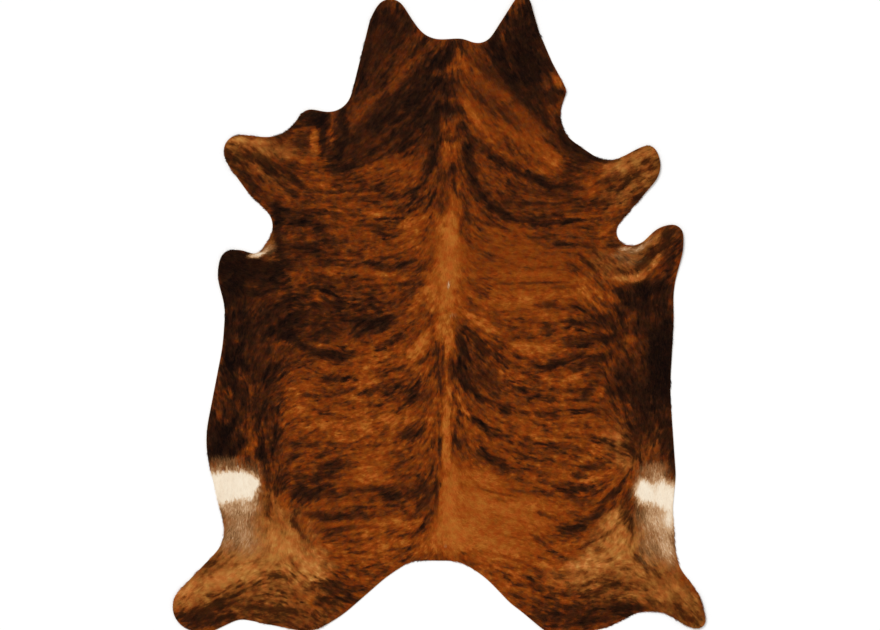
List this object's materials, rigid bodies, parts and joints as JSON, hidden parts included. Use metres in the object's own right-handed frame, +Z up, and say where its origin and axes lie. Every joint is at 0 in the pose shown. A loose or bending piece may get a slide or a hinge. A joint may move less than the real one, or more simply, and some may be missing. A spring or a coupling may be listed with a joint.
{
  "type": "leather hide",
  "caption": "Hair-on cattle hide laid flat as a floor rug, coat side up, its cut edge running in neck, leg and flank lobes.",
  "frame": {"origin": "on the floor under the middle of the outline's box", "axes": "+Y towards the neck end, +X to the right for someone looking down at the coat, +Z up out of the coat"},
  "size_m": [1.8318, 2.1996, 0.0132],
  "materials": {
    "coat": "short brown brindle hair lying flat, with a low sheen, over tanned skin"
  },
  "bodies": {
    "root": {"hide": "coat"}
  },
  "joints": []
}
